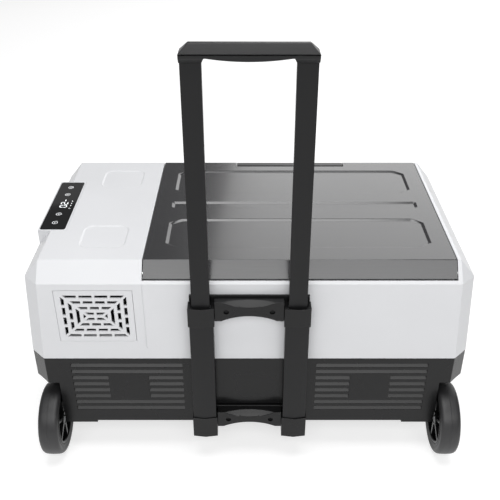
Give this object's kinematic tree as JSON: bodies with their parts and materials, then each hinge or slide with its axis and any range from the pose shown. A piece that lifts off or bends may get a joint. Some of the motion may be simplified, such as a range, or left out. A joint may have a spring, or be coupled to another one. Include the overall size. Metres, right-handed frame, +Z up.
{
  "type": "compressor cooler fridge",
  "caption": "Wheeled 12 V compressor cooler chest with a hinged top lid, sloped control pod, side louvres and a telescopic pull handle on its long side.",
  "frame": {"origin": "on the ground, under the middle of the whole object's box", "axes": "+X along the length towards the cold box end, +Y from the handle side to the latch side, +Z up"},
  "size_m": [0.708, 0.4444, 0.714],
  "materials": {
    "casing_white": "satin, fine moulded grain",
    "charcoal_plastic": "matt moulded grain",
    "lid_grey": "semi-gloss",
    "black_plastic": "semi-gloss",
    "handle_tube": "satin powder coat",
    "liner_white": "smooth",
    "foam": "closed-cell foam",
    "rubber": "matt",
    "tyre_rubber": "matt",
    "black_steel": "black oxide",
    "steel": "zinc plated",
    "aluminium": "mill finish",
    "compressor_paint": "gloss black enamel",
    "copper": "bare copper",
    "board": "circuit board",
    "wire": "insulated wire",
    "nylon": "moulded nylon",
    "lamp": "frosted lens"
  },
  "bodies": {
    "cabinet": {"base_tub": "charcoal_plastic", "upper_casing": "casing_white", "vent_grille": "casing_white", "inner_liner": "liner_white", "foam_insulation": "foam", "evaporator_plate": "aluminium", "control_pod": "casing_white", "display_panel": "black_plastic", "display_board": "board", "dc_inlet": "black_plastic", "interior_light": "lamp", "compressor": "compressor_paint", "compressor_mounts": "rubber", "mount_bolts": "steel", "condenser": "aluminium", "fan_frame": "black_plastic", "filter_drier": "copper", "refrigerant_lines": "copper", "driver_board": "board", "wire_harness": "wire", "latch_strike": "steel", "hinge_pins": "steel", "upper_bracket": "charcoal_plastic", "lower_bracket": "charcoal_plastic", "outer_tube_left": "handle_tube", "outer_tube_right": "handle_tube", "guide_bushes": "nylon", "bracket_screws": "black_steel", "axle_left": "steel", "axle_right": "steel", "axle_brackets": "charcoal_plastic", "axle_nuts": "steel", "bracket_bolts": "steel", "rear_feet": "charcoal_plastic", "foot_pads": "rubber", "casing_screws": "black_steel"},
    "lid": {"lid_cover": "lid_grey", "lid_tray": "casing_white", "lid_foam": "foam", "lid_gasket": "rubber", "latch_pin": "steel"},
    "latch": {"latch_lever": "black_plastic"},
    "power_button": {"power_key": "black_plastic"},
    "menu_button": {"menu_key": "black_plastic"},
    "plus_button": {"plus_key": "black_plastic"},
    "minus_button": {"minus_key": "black_plastic"},
    "fan": {"fan_rotor": "black_plastic"},
    "handle": {"inner_tube_left": "handle_tube", "inner_tube_right": "handle_tube", "grip": "charcoal_plastic", "release_springs": "steel"},
    "release": {"release_bar": "black_plastic", "pull_rods": "steel"},
    "lock_left": {"lock_pin_left": "steel"},
    "lock_right": {"lock_pin_right": "steel"},
    "wheel_left": {"tyre_left": "tyre_rubber", "hub_left": "charcoal_plastic"},
    "wheel_right": {"tyre_right": "tyre_rubber", "hub_right": "charcoal_plastic"}
  },
  "joints": [
    {"name": "lid_hinge", "type": "hinge", "parent": "cabinet", "child": "lid", "pos_m": [0.0765, -0.15825, 0.356], "axis": [1, 0, 0], "range_deg": [0, 75]},
    {"name": "latch_hinge", "type": "hinge", "parent": "lid", "child": "latch", "pos_m": [0.0765, 0.20225, 0.357], "axis": [-1, 0, 0], "range_deg": [0, 22], "stiffness_Nm_per_rad": 0.12, "springref_deg": -11.46},
    {"name": "power_press", "type": "slide", "parent": "cabinet", "child": "power_button", "axis": [0, 0, -1], "range_m": [0, 0.0008], "stiffness_N_per_m": 300},
    {"name": "menu_press", "type": "slide", "parent": "cabinet", "child": "menu_button", "axis": [0, 0, -1], "range_m": [0, 0.0008], "stiffness_N_per_m": 300},
    {"name": "plus_press", "type": "slide", "parent": "cabinet", "child": "plus_button", "axis": [0, 0, -1], "range_m": [0, 0.0008], "stiffness_N_per_m": 300},
    {"name": "minus_press", "type": "slide", "parent": "cabinet", "child": "minus_button", "axis": [0, 0, -1], "range_m": [0, 0.0008], "stiffness_N_per_m": 300},
    {"name": "fan_spin", "type": "hinge", "parent": "cabinet", "child": "fan", "pos_m": [-0.2384, -0.15475, 0.2854], "axis": [0, 1, 0], "continuous": true},
    {"name": "handle_slide", "type": "slide", "parent": "cabinet", "child": "handle", "axis": [0, 0, 1], "range_m": [-0.195, 0]},
    {"name": "release_squeeze", "type": "slide", "parent": "handle", "child": "release", "axis": [0, 0, 1], "range_m": [0, 0.004], "stiffness_N_per_m": 800, "springref_m": -0.004, "deforming": ["release_springs"]},
    {"name": "lock_left_retract", "type": "slide", "parent": "handle", "child": "lock_left", "axis": [1, 0, 0], "range_m": [0, 0.003]},
    {"name": "lock_right_retract", "type": "slide", "parent": "handle", "child": "lock_right", "axis": [-1, 0, 0], "range_m": [0, 0.003]},
    {"name": "wheel_left_spin", "type": "hinge", "parent": "cabinet", "child": "wheel_left", "pos_m": [-0.332, -0.16075, 0.0615], "axis": [1, 0, 0], "continuous": true},
    {"name": "wheel_right_spin", "type": "hinge", "parent": "cabinet", "child": "wheel_right", "pos_m": [0.332, -0.16075, 0.0615], "axis": [1, 0, 0], "continuous": true}
  ],
  "couplings": [
    {"joint": "lock_left_retract", "follows": "release_squeeze", "ratio": 0.75},
    {"joint": "lock_right_retract", "follows": "release_squeeze", "ratio": 0.75}
  ]
}
